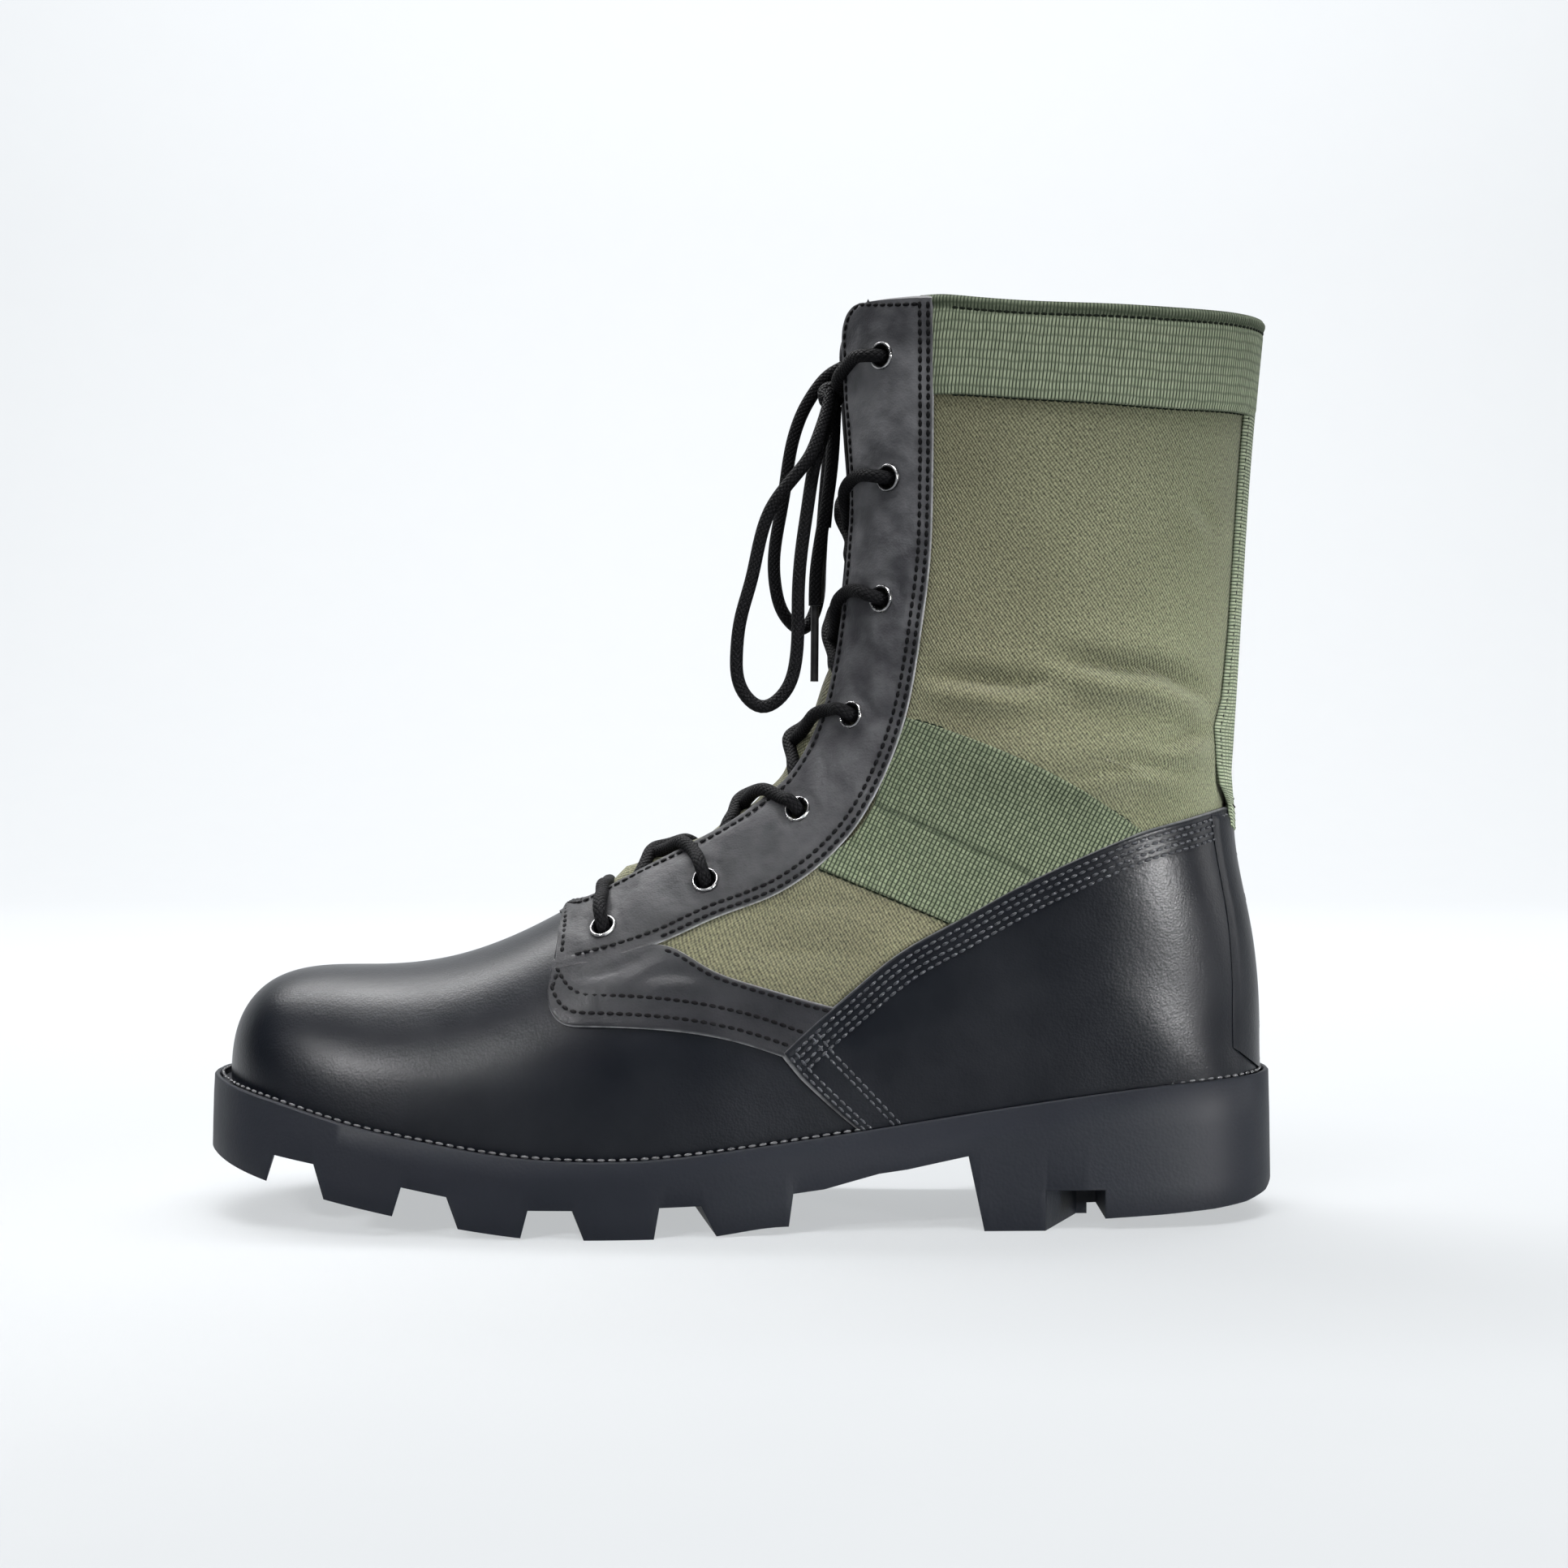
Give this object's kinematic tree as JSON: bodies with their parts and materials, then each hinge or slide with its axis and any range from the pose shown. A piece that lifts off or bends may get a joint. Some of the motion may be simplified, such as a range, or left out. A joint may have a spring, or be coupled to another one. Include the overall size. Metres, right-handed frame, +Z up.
{
  "type": "combat boot",
  "caption": "Left high lace-up combat boot with black leather foot, olive canvas shaft with green webbing, metal eyelets and a lugged black rubber sole, standing empty",
  "frame": {"origin": "on the ground under the middle of the sole's box", "axes": "+Z up, -X towards the toe, +X towards the heel, -Y towards the outer side of the foot, +Y towards the inner side"},
  "size_m": [0.3019, 0.1023, 0.2533],
  "materials": {
    "rubber": "matte moulded black rubber",
    "footbed": "dark fabric-covered footbed",
    "upper_leather": "smooth black leather vamp with olive canvas shaft",
    "trim_leather": "smooth black leather overlays",
    "canvas": "olive twill canvas",
    "webbing": "coarse green woven webbing",
    "eyelet_metal": "black enamelled metal, worn at the rim",
    "lace": "round braided black cord",
    "lace_tip": "black plastic lace tip"
  },
  "bodies": {
    "root": {"outsole": "rubber", "insole": "footbed", "upper": "upper_leather", "tongue": "canvas", "eyestay_lateral": "trim_leather", "eyestay_medial": "trim_leather", "counter": "trim_leather", "ankle_web_lateral": "webbing", "ankle_web_medial": "webbing", "cuff": "webbing", "backstay": "webbing", "eyelet_lateral_1": "eyelet_metal", "eyelet_lateral_2": "eyelet_metal", "eyelet_lateral_3": "eyelet_metal", "eyelet_lateral_4": "eyelet_metal", "eyelet_lateral_5": "eyelet_metal", "eyelet_lateral_6": "eyelet_metal", "eyelet_lateral_7": "eyelet_metal", "eyelet_medial_1": "eyelet_metal", "eyelet_medial_2": "eyelet_metal", "eyelet_medial_3": "eyelet_metal", "eyelet_medial_4": "eyelet_metal", "eyelet_medial_5": "eyelet_metal", "eyelet_medial_6": "eyelet_metal", "eyelet_medial_7": "eyelet_metal", "lace_bar": "lace", "lace_top": "lace", "lace_cross_1": "lace", "lace_cross_2": "lace", "lace_cross_3": "lace", "lace_cross_4": "lace", "lace_cross_5": "lace", "lace_knot": "lace", "lace_loop_near": "lace", "lace_loop_far": "lace", "lace_end_near": "lace", "lace_end_far": "lace", "lace_tip_near": "lace_tip", "lace_tip_far": "lace_tip"}
  },
  "joints": []
}
